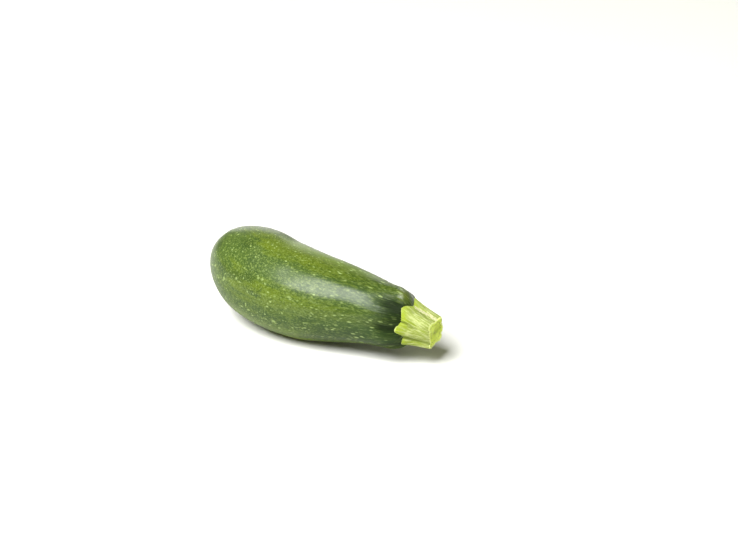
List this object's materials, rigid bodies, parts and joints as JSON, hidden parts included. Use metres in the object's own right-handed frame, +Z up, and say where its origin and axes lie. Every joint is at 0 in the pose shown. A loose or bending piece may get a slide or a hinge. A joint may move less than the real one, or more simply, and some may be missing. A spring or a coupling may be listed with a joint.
{
  "type": "courgette",
  "caption": "Whole young courgette lying on its side: a dark green, speckled, club-shaped fruit with a blossom scar at its fat end and a short ribbed stub of stem at the other",
  "frame": {"origin": "on the surface the courgette lies on, under the middle of its box", "axes": "+X runs along the fruit from the blossom end to the cut stem, +Y to its side, +Z up from the surface it lies on"},
  "size_m": [0.1466, 0.0556, 0.0545],
  "materials": {
    "fruit_skin": "smooth waxy vegetable skin, satin, mid green with olive bands and pale speckles",
    "stem_flesh": "matte fibrous stem, pale yellow-green, with a rough cut end"
  },
  "bodies": {
    "root": {"fruit": "fruit_skin", "stem": "stem_flesh"}
  },
  "joints": []
}
